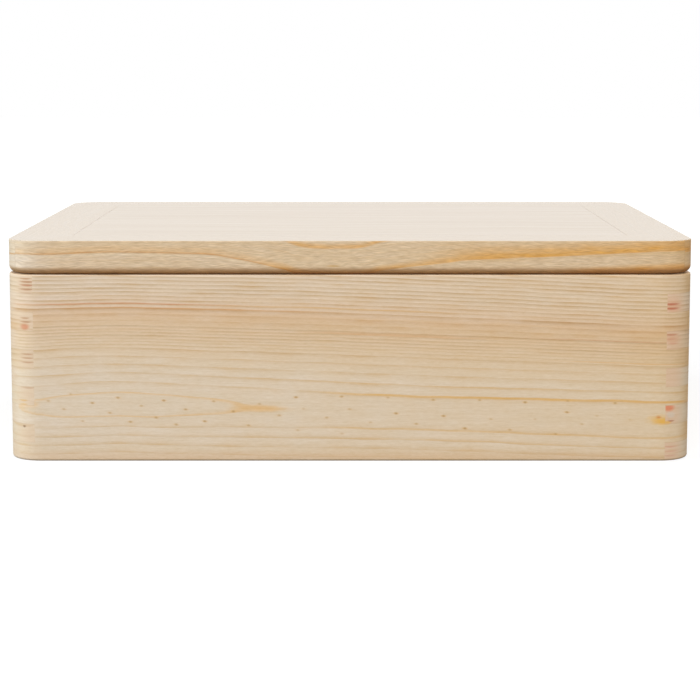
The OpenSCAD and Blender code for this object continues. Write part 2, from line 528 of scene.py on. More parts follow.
@dataclass(frozen=True)
class SwoopFigure:
    """Rings that lie nearly level in a rail and swoop along it.

    Fields give the height of one ring's lower edge at points along the rail, and
    how fast the rings climb with depth behind the outer face.
    """

    line: Points
    tilt: float
    wander: float = 0.4

    def distance(self, tree: NodeTree, place: Place, seed: float) -> Wire:
        """Measures the height above the chosen ring's lower edge, with slow bends.

        Args:
            tree: The material's node tree.
            place: The rail's axes.
            seed: The rail's seed.

        Returns:
            The height in millimetres.
        """
        inner = tree.math("MAXIMUM", place.depth - INNER_DEPTH, 0.0) * INNER_TILT
        plain = place.w + place.depth * self.tilt + inner - tree.curve(place.u, self.line)
        bends = tree.noise(place.u / 30.0 + seed, place.depth / 8.0, place.w / 8.0)
        return plain + bends * (2 * self.wander)


# The parts of a change of tone that red, green and blue take.
RING_TINT = (0.12, 0.45, 1.0)
# The tint of the painted light and shade along a piece.
PAINTED_LIGHT_TINT = (0.12, 0.4, 1.0)
FIBRE_TINT = (0.4, 0.58, 1.0)
RIPPLE_TINT = (0.8, 0.9, 1.0)
# The tint of the painted shade on a rail's rounded lower edge.
BEVEL_SHADE_TINT = (0.5, 0.75, 1.0)

# How strongly each feature changes the tone.
HARD_RING_TONE = 0.7
SOFT_RING_TONE = 0.16
PATCH_TONE = 0.15
CLOUD_TONE = 0.1
FIBRE_TONE = 0.34
RIPPLE_TONE = 0.75

# How far a feature covers what lies under it.
END_GRAIN_COVER = 0.9
NEEDLE_TAIL_COVER = 0.6
NEEDLE_DOT_COVER = 0.68
GLUE_LINE_COVER = 0.18
MITRE_LINE_COVER = 0.32

# Depths behind the outer face at which a mark on it is gone and is whole.
STREAK_DEPTHS = (12.0, 4.0)
BLUSH_DEPTHS = (9.0, 4.0)
NEEDLE_DEPTHS = (7.0, 3.0)
SANDING_DEPTHS = (7.0, 4.0)

# Distances from a joint at which its dark line is gone and is whole, and heights
# between which a rail's rounded lower edge is darkened by painted shade.
GLUE_LINE_EDGE = (0.22, 0.04)
MITRE_LINE_EDGE = (0.35, 0.05)
BEVEL_SHADE_HEIGHTS = (5.3, 1.0)

# The surface: its relief in millimetres and how dull and how shiny it is, with
# what fibres and end grain add and hard rings take away.
RELIEF_DEPTH = 0.04
ROUGHNESS = 0.52
FIBRE_ROUGHNESS = 0.12
END_ROUGHNESS = 0.12
HARD_RING_POLISH = 0.05
BOARD_SPECULAR = 0.3
RAIL_SPECULAR = 0.5

# A needle trace: how far it strays along and across its row, and the squares of
# half the length and half the height of its tail and of its dot.
NEEDLE_STRAY = (1.2, 0.8)
NEEDLE_TAIL = (7.0, 1.2)
NEEDLE_DOT = (2.0, 0.9)
TAIL_COLOUR = srgb(214, 172, 110)
DOT_COLOUR = srgb(172, 138, 94)
JOINT_COLOUR = srgb(150, 112, 74)


@dataclass(frozen=True)
class Grain:
    """The wood that marks lie on.

    Fields give the material's node tree, the piece's axes, the distance on its
    figure's scale, how much of a ring's hard part shows, and the ring's number.
    """

    tree: NodeTree
    place: Place
    distance: Wire
    hard: Wire
    ring: Wire


@dataclass(frozen=True)
class Streak:
    """A stained line that follows the rings over part of a board.

    Fields give the distance of its darkest place on the figure's scale, how far it
    fades below and above that, the stretch of board that it shows on, how far it
    takes to fade in and out there, its colour, its strength, and the height that
    it keeps above, if any.
    """

    distance: float
    below: float
    above: float
    start: float
    end: float
    fade: float
    colour: Colour
    strength: float
    lowest: float | None = None

    def lay(self, grain: Grain, seed: float, colour: Wire) -> Wire:
        """Lays the streak over a colour.

        Args:
            grain: The wood that it lies on.
            seed: The board's seed.
            colour: The colour to change.

        Returns:
            The colour with the streak.
        """
        place = grain.place
        across = grain.distance.hump(self.distance, self.below, self.above)
        along = (place.u.ease(self.start - self.fade, self.start + self.fade)
                 * place.u.ease(self.end + self.fade, self.end - self.fade))
        patchy = grain.tree.noise(place.u / 18.0, place.w / 3.0, seed + 5.0) * 1.6 + 1.0
        share = across * along * patchy * place.depth.ease(*STREAK_DEPTHS)
        if self.lowest is not None:
            share = share * place.w.ease(self.lowest - 2.0, self.lowest + 2.0)
        return grain.tree.mix(share * self.strength, colour, self.colour)


@dataclass(frozen=True)
class Blush:
    """A stained patch or a knot, as a soft ellipse on the outer face.

    Fields give its middle, half length, half height, colour, strength and slope.
    """

    u: float
    w: float
    length: float
    height: float
    colour: Colour
    strength: float
    slope: float = 0.0

    def lay(self, grain: Grain, seed: float, colour: Wire) -> Wire:
        """Lays the patch over a colour, on the outer face and a little below it.

        Args:
            grain: The wood that it lies on.
            seed: The board's seed.
            colour: The colour to change.

        Returns:
            The colour with the patch.
        """
        place = grain.place
        run = (place.u - self.u) / self.length
        rise = (place.w - self.w - (place.u - self.u) * self.slope) / self.height
        reach = run.hypot(rise)
        reach = reach + grain.tree.noise(place.u / 4.0, place.w / 1.5, seed) * 0.5
        share = reach.ease(1.0, 0.0) * place.depth.ease(*BLUSH_DEPTHS)
        return grain.tree.mix(share * self.strength, colour, self.colour)


@dataclass(frozen=True)
class NeedleRow:
    """A row of small brown traces where the needles of the young stem grew.

    Fields give the first trace's place along the board, how many there are, the
    row's height in the middle of the board and its slope, and the spacing.
    """

    start: float
    count: int
    height: float
    slope: float
    pitch: float

    def lay(self, grain: Grain, seed: float, colour: Wire) -> Wire:
        """Lays the row over a colour.

        Args:
            grain: The wood that it lies on.
            seed: The board's seed.
            colour: The colour to change.

        Returns:
            The colour with the row.
        """
        tree, place = grain.tree, grain.place
        run = (place.u - self.start) / self.pitch
        column = (run + 0.5).whole()
        stray, rise = NEEDLE_STRAY
        lift = tree.chance(self.start, column, seed) * (2 * rise) - rise
        shift = tree.chance(column, self.start, seed) * (2 * stray) - stray
        du = (run - column) * self.pitch - shift
        dw = place.w - (place.u * self.slope + self.height) - lift
        tail, dot = ((du * du / long + dw * dw / high).root().ease(1.0, 0.1)
                     for long, high in (NEEDLE_TAIL, NEEDLE_DOT))
        weight = tree.chance(column, seed, self.start) * 0.9 + 0.25
        kept = column.above(-0.5) * (1.0 - column.above(self.count - 0.5))
        shown = weight * kept * place.depth.ease(*NEEDLE_DEPTHS)
        colour = tree.mix(tail * shown * NEEDLE_TAIL_COVER, colour, TAIL_COLOUR)
        return tree.mix(dot * shown * NEEDLE_DOT_COVER, colour, DOT_COLOUR)


@dataclass(frozen=True)
class EndStain:
    """A stained spot or line on the end grain at one end of a board.

    Fields give its depth behind the outer face, its height, its half length and
    half height, its colour and its strength.
    """

    depth: float
    w: float
    length: float
    height: float
    colour: Colour
    strength: float

    def lay(self, grain: Grain, end: int, colour: Wire) -> Wire:
        """Lays the stain over a colour.

        Args:
            grain: The wood that it lies on.
            end: The end that takes it, -1 for the left and 1 for the right.
            colour: The colour to change.

        Returns:
            The colour with the stain.
        """
        place = grain.place
        run = (place.v - self.depth) / self.length
        rise = (place.w - self.w - run * run * 0.4) / self.height
        share = run.hypot(rise).ease(1.0, 0.3) * (place.u * end).above(0.0)
        return grain.tree.mix(share * self.strength, colour, self.colour)


@dataclass(frozen=True)
class PineTones:
    """Colours of one board: soft wood and hard wood along the figure's scale.

    The end grain and the top face have tones of their own. The last fields give how
    far the end grain shows its rings, how far the top face takes its paler tone, which
    matches the lid's panel and is partly painted sheen, how much smoother the top
    face is, and how much paler or deeper the board gets along its length, mostly in
    its blue, which is painted light towards the lit end and painted shade towards
    the shaded end.
    """

    soft: ColourStops
    hard: ColourStops
    end_soft: Colour = srgb(213, 188, 158)
    end_hard: Colour = srgb(200, 166, 134)
    top: Colour = srgb(220, 199, 173)
    end_rings: float = 0.5
    top_tone_and_sheen_share: float = 0.0
    top_polish: float = 0.0
    along: Points = ()


@dataclass(frozen=True)
class PineFinish:
    """Raw sanded pine: the figure, the rings, the tones and the marks of one board.

    Fields give the figure, the ring count along its scale, the tones, how suddenly
    the hard part of a ring sets in along that scale, how strong the rings are, a
    seed, the marks in the order in which they are laid, the stains of the end grain
    and the end that they keep to (-1 for the left and 1 for the right), how strong
    the fibres and the ripples of coarse sanding are, and how far the rounded lower
    edge is darkened by painted shade.
    """

    figure: HeartFigure | SwoopFigure
    rings: Points
    tones: PineTones
    sharpness: Points = ((0.0, 4.0), (60.0, 2.0))
    contrast: float = 1.0
    seed: float = 0.0
    marks: Sequence[Streak | Blush | NeedleRow] = ()
    end_stains: Sequence[EndStain] = ()
    stained_end: int = 1
    fibre: float = 1.0
    ripple: float = 0.0
    painted_bevel_shade: float = 0.0

    def material(self, name: str, stock: Stock) -> bpy.types.Material:
        """Builds the board's material.

        Args:
            name: The material's name.
            stock: The board's place and size.

        Returns:
            The material.
        """
        tree = NodeTree(bpy.data.materials.new(name))
        place = Place.on(tree, stock)
        distance = self.figure.distance(tree, place, self.seed)
        hard, ring = self._hard_wood(tree, place, distance)
        grain = Grain(tree, place, distance, hard, ring)
        colour = tree.mix(place.end_grain * END_GRAIN_COVER, self._face_colour(grain),
                          self._end_colour(grain))
        # Painted light and shade: the piece is made paler where light falls and darker towards its
        # shaded end.
        if self.tones.along:
            change = tree.curve(place.u, self.tones.along, smooth=False)
            colour = tree.tone(colour, change, PAINTED_LIGHT_TINT)
        # The top face is made paler, partly to match the lid's panel and partly as painted sheen.
        if self.tones.top_tone_and_sheen_share:
            colour = tree.mix(place.top * self.tones.top_tone_and_sheen_share, colour, self.tones.top)
        fibres, clouds = self._fibres(tree, place)
        # Fibres are made fainter on the top face, as painted sheen that washes them out.
        shown = fibres * (1.0 - place.top * 0.45)
        colour = tree.tone(colour, shown * (FIBRE_TONE * self.fibre) + clouds * CLOUD_TONE,
                           FIBRE_TINT)
        if self.ripple:
            waves = self._ripples(tree, place)
            colour = tree.tone(colour, waves * (RIPPLE_TONE * self.ripple), RIPPLE_TINT)
            fibres = fibres + waves * self.ripple
        # Painted shade: the rounded lower edge is darkened, standing in for the shade under the
        # lid's edge.
        if self.painted_bevel_shade:
            shaded_bevel = place.w.ease(*BEVEL_SHADE_HEIGHTS) * place.depth.ease(*SANDING_DEPTHS)
            colour = tree.tone(colour, shaded_bevel * -self.painted_bevel_shade, BEVEL_SHADE_TINT)
        joints = (self._glue_lines(place, stock) * GLUE_LINE_COVER if stock.finger
                  else self._mitre_line(place, stock) * MITRE_LINE_COVER)
        colour = tree.mix(joints, colour, JOINT_COLOUR)
        relief = (fibres * 0.7 + hard * 0.5) * (1.0 - place.top * 0.99)
        roughness = (ROUGHNESS + fibres * FIBRE_ROUGHNESS - hard * HARD_RING_POLISH
                     + place.end_grain * END_ROUGHNESS - place.top * self.tones.top_polish)
        return tree.surface(colour, roughness, relief, RELIEF_DEPTH,
                            specular=BOARD_SPECULAR if stock.finger else RAIL_SPECULAR)

    def _face_colour(self, grain: Grain) -> Wire:
        """Colours the long grain, with the marks that lie on it.

        Args:
            grain: The board's wood.

        Returns:
            The colour.
        """
        tree, place = grain.tree, grain.place
        colour = tree.mix(grain.hard, tree.ramp(grain.distance, self.tones.soft),
                          tree.ramp(grain.distance, self.tones.hard))
        hue = tree.noise(place.u / 20.0, grain.ring * 5.3, self.seed)
        patches = tree.noise(place.u / 13.0, place.w / 2.6, self.seed + 9.0)
        change = hue * (grain.hard * HARD_RING_TONE + SOFT_RING_TONE) + patches * PATCH_TONE
        colour = tree.tone(colour, change, RING_TINT)
        for mark in self.marks:
            colour = mark.lay(grain, self.seed, colour)
        return colour

    def _end_colour(self, grain: Grain) -> Wire:
        """Colours the end grain, with its stains.

        Args:
            grain: The board's wood.

        Returns:
            The colour.
        """
        colour = grain.tree.mix(grain.hard * self.tones.end_rings, self.tones.end_soft,
                                self.tones.end_hard)
        for stain in self.end_stains:
            colour = stain.lay(grain, self.stained_end, colour)
        return colour

    def _hard_wood(self, tree: NodeTree, place: Place, distance: Wire) -> tuple[Wire, Wire]:
        """Counts the rings and finds their dark, hard part.

        Args:
            tree: The material's node tree.
            place: The board's axes.
            distance: The distance on the figure's scale.

        Returns:
            How much of the hard part shows, and the ring's number.
        """
        count = tree.curve(distance, self.rings, smooth=False)
        count = count + tree.noise(distance / 3.5, self.seed, 0.0, detail=1.0) * 0.3
        ring = count.whole()
        share = count.part()
        strength = tree.chance(ring, self.seed, 0.0) * 0.7 + 0.65
        along = tree.noise(place.u / 40.0, ring * 3.1, self.seed) * 2.2 + 1.0
        sharpness = tree.curve(distance, self.sharpness, smooth=False)
        profile = tree.math("POWER", share, sharpness) * share.ease(1.0, 0.90)
        return (profile * strength * along * self.contrast).clamped(), ring

    def _fibres(self, tree: NodeTree, place: Place) -> tuple[Wire, Wire]:
        """Lays fine fibres along the board, and slow clouds of tone.

        Args:
            tree: The material's node tree.
            place: The board's axes.

        Returns:
            The fibres and the clouds.
        """
        w = place.w
        fine = tree.noise(place.u / 4.5, place.depth / 1.0, w / 0.7, detail=3.0, roughness=0.7)
        broad = tree.noise(place.u / 34.0, place.depth / 1.3, w / 1.3 + self.seed)
        clouds = tree.noise(place.u / 90.0 + self.seed, place.depth / 20.0, w / 18.0)
        return fine * 1.1 + broad * 0.7, clouds

    def _ripples(self, tree: NodeTree, place: Place) -> Wire:
        """Lays short wavy ridges across a coarsely sanded edge, off the polished top.

        Args:
            tree: The material's node tree.
            place: The board's axes.

        Returns:
            The ridges.
        """
        sway = tree.noise(place.u / 10.0, place.w / 7.0, self.seed, detail=1.0)
        height = place.w + sway * 3.2
        ridges = tree.noise(place.u / 7.0, place.depth / 1.5, height / 0.62, roughness=0.55)
        return ridges * (1.0 - place.top) * place.depth.ease(*SANDING_DEPTHS)

    def _glue_lines(self, place: Place, stock: Stock) -> Wire:
        """Draws thin dark lines where this board's fingers meet the next board's.

        Args:
            place: The board's axes.
            stock: The board's place and size.

        Returns:
            1 on a line and 0 off it.
        """
        inner = place.u.size() - (stock.length / 2 - stock.thickness)
        step = (place.w / stock.finger).part()
        from_edge = (0.5 - (step - 0.5).size()) * stock.finger
        return from_edge.ease(*GLUE_LINE_EDGE) * inner.above(-0.05)

    def _mitre_line(self, place: Place, stock: Stock) -> Wire:
        """A thin dark line where this rail meets the next one, off the polished top."""
        from_joint = stock.length / 2 - place.u.size() - place.v
        return from_joint.ease(*MITRE_LINE_EDGE) * (1.0 - place.top)


# Length of the sheet that a panel is sawn from, so its rounded ends lie off the panel.
SHEET_LENGTH = 2000.0


@dataclass(frozen=True)
class PlywoodFinish:
    """Sanded plywood with pale face veneers.

    Fields give the colour of the face, of its darker bands and of the middle ply,
    the number of plies, how dull the face is and the depth of its pores.
    """

    face: Colour = srgb(221, 199, 173)
    vein: Colour = srgb(206, 180, 146)
    core: Colour = srgb(205, 176, 138)
    plies: int = 3
    roughness: float = 0.2
    pore_depth: float = 0.001

    def material(self, name: str, base: float, thickness: float) -> bpy.types.Material:
        """Builds the panel's material.

        Args:
            name: The material's name.
            base: The height of the panel's underside, in millimetres.
            thickness: The panel's thickness, in millimetres.

        Returns:
            The material.
        """
        tree = NodeTree(bpy.data.materials.new(name))
        place = Place.on(tree, Stock(Side.FRONT, 0.0, base, SHEET_LENGTH))
        warp = tree.noise(place.u / 120.0, place.v / 45.0, 0.0, detail=1.0) * 26.0
        bands = tree.noise(place.u / 260.0, (place.v + warp) / 7.0, 3.0, detail=3.0,
                           roughness=0.55)
        pores = tree.noise(place.u / 5.0, place.v / 0.4, place.w, roughness=0.6)
        colour = tree.mix((bands * 1.6 + 0.35).clamped(), self.face, self.vein)
        colour = tree.tone(colour, pores * 0.1, FIBRE_TINT)
        up = tree.split(tree.coordinates("Normal"))[2].size()
        ply = (place.w * (self.plies / thickness)).whole()
        middle = 1.0 - (ply - (self.plies - 1) / 2).size().above(0.5)
        edge = tree.mix(middle, self.vein, self.core)
        edge = tree.tone(edge, tree.noise(place.u, place.v, place.w / 0.5) * 0.3, FIBRE_TINT)
        colour = tree.mix(up.ease(0.6, 0.3), colour, edge)
        return tree.surface(colour, self.roughness + pores * 0.06, pores, self.pore_depth)


@dataclass(frozen=True)
class MetalFinish:
    """Plated steel, brushed and a little stained.

    Fields give its colour, the colour of its stains, how dull it is, how strong
    its stains are, and the depth of the brushing.
    """

    colour: Colour
    dull: Colour
    roughness: float
    marks: float
    brush_depth: float = 0.01

    def material(self, name: str) -> bpy.types.Material:
        """Builds the metal's material, with brushing along the hinge and small stains.

        Args:
            name: The material's name.

        Returns:
            The material.
        """
        tree = NodeTree(bpy.data.materials.new(name))
        x, y, z = tree.split(tree.coordinates("Object"))
        brushed = tree.noise(x * 60.0, y * 4200.0, z * 4200.0, roughness=0.6)
        stains = tree.noise(x * 700.0, y * 700.0, z * 700.0, detail=3.0, roughness=0.6)
        colour = tree.mix((stains * 2.2 * self.marks + 0.25).clamped(), self.colour, self.dull)
        roughness = self.roughness + brushed * 0.12 + stains * 0.15 * self.marks
        return tree.surface(colour, roughness, brushed, self.brush_depth, metallic=1.0)


FRONT_TONES = PineTones(
    soft=((0, 215, 195, 168), (19.4, 215, 195, 168), (20.6, 216, 196, 170), (26.5, 216, 196, 170),
          (29, 215, 194, 166), (40, 215, 190, 158), (48, 215, 187, 153), (52, 213, 184, 149),
          (57, 213, 182, 147), (58.6, 217, 190, 160), (70, 219, 197, 170), (110, 218, 195, 168)),
    hard=((0, 208, 181, 144), (24, 208, 181, 145), (30.5, 203, 172, 132), (35, 204, 173, 134),
          (42, 194, 164, 126), (50, 187, 156, 119), (52, 203, 170, 132), (57, 203, 169, 132),
          (58.6, 190, 152, 110), (70, 195, 166, 130), (110, 197, 167, 130)),
    # Painted light and shade: paler towards the lit left end and darker at the shaded right
    # corner.
    along=((-200, 0.1), (-60, 0.03), (150, -0.05), (172, -0.1), (192, -0.14), (200, -0.36)),
)
ORANGE = srgb(212, 168, 103)
AMBER = srgb(220, 178, 122)
RUST = srgb(198, 146, 106)
BROWN = srgb(180, 136, 104)
RED = srgb(184, 108, 78)
FRONT_RINGS = ((0, -4), (15.5, 0), (19, 0.5), (19.4, 1), (26.1, 3), (38.3, 6), (50.1, 13),
               (60.2, 16), (116.2, 41))
FRONT_FIGURE = HeartFigure(
    height=29.8, slope=-0.031,
    depth=((-200, 19.7), (-181, 18.8), (-141, 18), (-77, 18.9), (-34, 19.5), (50, 20.3),
           (118, 19.9), (200, 19.8)),
    bow=1.2, wander=0.5, sag=4,
)
FRONT_FINISH = PineFinish(
    figure=FRONT_FIGURE, rings=FRONT_RINGS, tones=FRONT_TONES, seed=1, fibre=1.5,
    sharpness=((0, 5.5), (38, 4.2), (44, 2.4), (58, 1.6), (110, 1.25)),
    marks=(
        Streak(19.3, 0.35, 0.2, -230, -30, 8, AMBER, 0.45),
        Streak(22.6, 0.55, 0.35, -10, 230, 25, ORANGE, 0.4),
        Streak(22.6, 0.7, 0.45, 0, 230, 25, ORANGE, 0.75, lowest=28),
        Streak(25.9, 0.7, 0.3, -20, 230, 40, ORANGE, 0.12),
        Streak(39.1, 0.5, 0.4, 130, 230, 30, srgb(212, 168, 112), 0.6),
        Streak(50.4, 0.5, 0.5, 115, 230, 25, srgb(190, 140, 104), 0.6),
        Streak(48.6, 0.6, 1.8, -20, 70, 20, srgb(204, 160, 114), 0.6),
        Streak(62.3, 0.9, 0.6, -185, -80, 35, RUST, 0.9),
        Streak(60, 0.9, 0.5, -150, -30, 45, srgb(202, 154, 106), 0.8),
        Streak(62.3, 0.9, 0.6, -60, 60, 35, srgb(206, 164, 110), 0.6),
        Blush(-52, 31.4, 24, 3, AMBER, 0.65, slope=-0.03),
        Blush(-186, 33.4, 7, 3, AMBER, 0.7),
        # This long, low band makes the board darker towards its bottom edge.
        Blush(0, -1, 900, 9, srgb(206, 172, 138), 0.5),
        Blush(60, 3, 190, 8, srgb(202, 166, 118), 0.2),
        Blush(181.2, 24.4, 11, 4.2, srgb(221, 180, 108), 0.95),
        Blush(182.6, 23.2, 7, 2.5, srgb(222, 172, 82), 0.9),
        Blush(180, 26, 2.5, 1.5, srgb(206, 136, 72), 0.8),
        NeedleRow(-161.8, 12, 30.2, -0.0565, 27.05),
        NeedleRow(-176.5, 12, 24.4, -0.064, 27),
        NeedleRow(-167.5, 7, 15.6, -0.092, 27.3),
        NeedleRow(-157, 3, 15, -0.06, 28),
        NeedleRow(-30.4, 8, 37.6, -0.02, 26.3),
        NeedleRow(125.5, 3, 44, -0.118, 19),
    ),
)
PLAIN_RINGS = ((0, -3), (12, 1), (40, 9), (70, 21), (130, 46))
LEFT_STAINS = tuple(EndStain(*row) for row in (
    (11.5, 107.2, 5, 0.8, BROWN, 0.8),
    (12.5, 105.4, 7, 0.9, BROWN, 1),
    (12.5, 103.4, 7, 0.9, srgb(178, 122, 90), 0.95),
    (12, 101, 7.5, 0.9, BROWN, 1),
    (11.5, 98.9, 7, 0.8, BROWN, 0.5),
    (11, 84.1, 4, 0.8, BROWN, 0.8),
    (11.5, 81.9, 5, 0.8, BROWN, 0.9),
    (10.8, 79, 4, 2.6, srgb(202, 136, 104), 0.95),
    (12, 63, 6, 0.8, BROWN, 0.7),
    (12, 60.7, 6, 0.8, BROWN, 0.8),
    (12, 58.2, 6, 0.8, BROWN, 0.7),
    (12, 43.2, 6.5, 0.8, BROWN, 0.5),
    (9, 35.6, 4, 0.8, ORANGE, 0.8),
    (9, 33.3, 4, 0.8, ORANGE, 0.8),
    (9.5, 20.2, 1.3, 1, srgb(120, 84, 60), 0.9),
    (13, 23, 2.5, 0.9, ORANGE, 0.8),
))
RIGHT_STAINS = tuple(EndStain(*row) for row in (
    (12, 91.2, 8, 5.5, srgb(214, 166, 134), 0.75),
    (13, 92.3, 7, 1, RED, 1),
    (13, 89.8, 7, 1, RED, 1),
    (12, 71.6, 7, 3.6, srgb(210, 164, 132), 0.8),
    (13, 74.5, 6, 0.9, srgb(188, 128, 96), 0.9),
    (13, 72, 5, 0.7, srgb(200, 140, 112), 0.6),
    (12, 69.2, 4.6, 0.8, srgb(206, 148, 122), 0.6),
    (12, 43.3, 6, 0.8, BROWN, 0.4),
    (14, 31.4, 5, 2.8, srgb(218, 128, 90), 0.95),
    (12.5, 27.2, 3.6, 2.4, srgb(206, 194, 180), 0.6),
    (3.4, 25.4, 2.6, 3.4, srgb(212, 172, 112), 0.6),
    (14.6, 22.8, 3.4, 1.3, srgb(222, 174, 92), 0.9),
    (12.4, 23.6, 2.8, 0.7, srgb(176, 110, 84), 0.9),
    (12.5, 8.3, 6, 0.7, srgb(204, 148, 126), 0.7),
    (12, 5.6, 6, 0.7, srgb(204, 148, 126), 0.6),
    (12.5, 3, 6.5, 0.8, srgb(200, 150, 130), 0.6),
))
RAIL_TONES = PineTones(
    soft=((-30, 208, 182, 148), (-2, 208, 182, 149), (2, 208, 181, 145), (40, 208, 181, 146)),
    hard=((-30, 201, 170, 128), (40, 201, 168, 126)),
    # The rails' tops take a paler tone, partly painted sheen.
    top_tone_and_sheen_share=0.72, top_polish=0.31,
)
RAIL_RINGS = ((-30, -8), (0, 0), (30, 8))
HONEY = srgb(208, 156, 84)
DARK_HONEY = srgb(208, 154, 84)
FRONT_RAIL_FINISH = PineFinish(
    figure=SwoopFigure(
        line=((-200, 11.2), (-172, 11.3), (-142, 12.4), (-102, 11.9), (-86, 11.5),
              (-70.5, 9.5), (-51, 5.6), (-38.5, 2.6), (-8, -2), (18.5, 2), (37.7, 4.4),
              (56.3, 6.4), (70, 8.1), (96, 9), (132, 10.5), (168.5, 12.2),
              (186, 12.9), (200, 12)),
        tilt=0.12, wander=0.15),
    rings=RAIL_RINGS, contrast=0.5, seed=51, fibre=1.1, ripple=1.45, painted_bevel_shade=0.72,
    # Painted light and shade along the rail: paler at the lit left end and darker at the shaded
    # right end.
    tones=replace(RAIL_TONES, along=(
        (-200, 0.36), (-184, 0.24), (-171, 0.07), (30, 0.07), (62, -0.03),
        (150, 0), (178, -0.1), (192, -0.2), (200, -0.3))),
    marks=(
        Streak(0.5, 0.6, 1, -220, 10, 10, srgb(186, 136, 84), 0.85),
        Streak(0.9, 0.9, 5, -220, -20, 20, srgb(211, 166, 112), 0.42),
        # A paler line just below the dark line, over the rail's left part.
        Streak(-0.9, 0.8, 0.7, -220, -60, 20, srgb(222, 202, 172), 0.5),
        Streak(0.9, 1, 9.5, 60, 230, 30, HONEY, 0.9),
        Streak(0.6, 0.7, 4, -48, 90, 12, srgb(208, 158, 92), 0.7),
        Streak(17.4, 1.4, 3.4, -38, 40, 10, srgb(208, 156, 88), 0.7),
        Streak(-9, 3.6, 3.6, 130, 230, 20, DARK_HONEY, 0.7),
        Blush(-9.5, 4.8, 6, 0.8, srgb(192, 148, 78), 0.7),
    ),
)


@dataclass
class Group:
    """A group of pieces, found by name among the frame's nodes."""

    nodes: dict[str, bpy.types.Object]

    def cover(self, name: str, material: bpy.types.Material) -> None:
        """Gives a piece one material all over.

        Args:
            name: The piece's node.
            material: The material that it takes.
        """
        piece = self.nodes[name]
        slots = piece.material_slots
        if not slots:
            piece.data.materials.append(material)
        for slot in slots:
            slot.material = material
        log.info("%s: %s, %d faces", name, material.name, len(piece.data.polygons))

    def cover_with_pine(self, name: str, finish: PineFinish, stock: Stock) -> None:
        """Covers a board or rail."""
        self.cover(name, finish.material(f"pine_{name}", stock))


@dataclass
class Carcass(Group):
    """The four boards and the bottom with its pins.

    A field gives how many finger heights the height of a board holds.
    """

    fingers: int = 10

    def board_finishes(self) -> dict[Side, PineFinish]:
        """Sets out the finish of each board.

        Returns:
            The finish of the board on each side.
        """
        def other(height: float, slope: float, depth: Points, seed: float,
                  tones: PineTones = FRONT_TONES) -> PineFinish:
            """A board that has the same kind of figure and no special marks."""
            figure = HeartFigure(height=height, slope=slope, depth=depth, bow=1, wander=0.6)
            return PineFinish(figure=figure, rings=PLAIN_RINGS, tones=tones, seed=seed)
        left_tones = replace(FRONT_TONES, along=(), end_soft=srgb(215, 191, 164),
                             end_hard=srgb(203, 172, 141), end_rings=0.35)
        right_tones = replace(FRONT_TONES, along=(), end_soft=srgb(214, 183, 153),
                              end_hard=srgb(204, 164, 132))
        left = other(22, 0.02, ((-150, 26), (0, 22), (150, 10)), 11, left_tones)
        right = other(26, -0.015, ((-150, 8), (20, 22), (150, 20)), 23, right_tones)
        return {
            Side.FRONT: FRONT_FINISH,
            Side.LEFT: replace(left, end_stains=LEFT_STAINS),
            Side.RIGHT: replace(right, stained_end=-1, end_stains=RIGHT_STAINS),
            Side.BACK: other(62, 0.03, ((-200, 30), (-40, 22), (90, 27), (200, 33)), 37),
        }

    def dress(self, metal: bpy.types.Material) -> None:
        """Dresses the carcass.

        Args:
            metal: The material of the panel pins.
        """
        for side, finish in self.board_finishes().items():
            kind = "board" if side.runs_along_width else "side_board"
            name = f"{side.name.lower()}_{kind}"
            self.cover_with_pine(name, finish, Stock.of(name, side, self.fingers))
        low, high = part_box("bottom_panel")
        self.cover("bottom_panel", PlywoodFinish().material(
            "plywood_bottom", low.z / MM, (high.z - low.z) / MM))
        self.cover("bottom_panel_pins", metal)


class Lid(Group):
    """The lid's four rails and its panel."""

    def rail_finishes(self) -> dict[Side, PineFinish]:
        """Sets out the finish of each rail.

        Returns:
            The finish of the rail on each side.
        """
        def other(line: Points, seed: float, marks: Sequence[Streak] = (),
                  along: Points = ()) -> PineFinish:
            """Finishes a rail in the same tones.

            Args:
                line: The height of one ring's lower edge at points along the rail.
                seed: The rail's seed.
                marks: The marks that lie on it.
                along: How much paler or deeper it gets along its length, as painted light and
                    shade.

            Returns:
                The rail's finish.
            """
            return PineFinish(figure=SwoopFigure(line=line, tilt=0.2), rings=RAIL_RINGS,
                              tones=replace(RAIL_TONES, along=along), contrast=0.8, seed=seed,
                              fibre=0.9, ripple=0.9, painted_bevel_shade=0.72, marks=marks)
        return {
            Side.FRONT: FRONT_RAIL_FINISH,
            Side.RIGHT: other(((-150, 12), (-60, 10.5), (40, 5), (150, 3)), 61, (
                Streak(0.9, 1, 9.5, -200, 0, 40, HONEY, 0.9),
                Streak(-9, 3.6, 3.6, -200, -40, 30, DARK_HONEY, 0.7),
            # Painted shade darkens the right rail's front end, at the shaded corner.
            ), ((-150, -0.3), (-142, -0.2), (-110, 0), (150, 0))),
            Side.BACK: other(((-200, 12), (-60, 4), (80, 9), (200, 6)), 71),
            Side.LEFT: other(((-150, 9), (20, 3), (80, 9), (150, 11)), 83, (
                Streak(0.4, 0.5, 1, 20, 220, 10, srgb(192, 142, 88), 0.75),
            # Painted light makes the left rail's front end paler, at the lit corner.
            ), ((-150, 0), (100, 0), (136, 0.36), (150, 0.36))),
        }

    def dress(self) -> None:
        """Dresses the lid."""
        for side, finish in self.rail_finishes().items():
            name = f"lid_{side.name.lower()}_rail"
            self.cover_with_pine(name, finish, Stock.of(name, side))
        low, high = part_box("lid_panel")
        self.cover("lid_panel", PlywoodFinish().material(
            "plywood_lid", low.z / MM, (high.z - low.z) / MM))


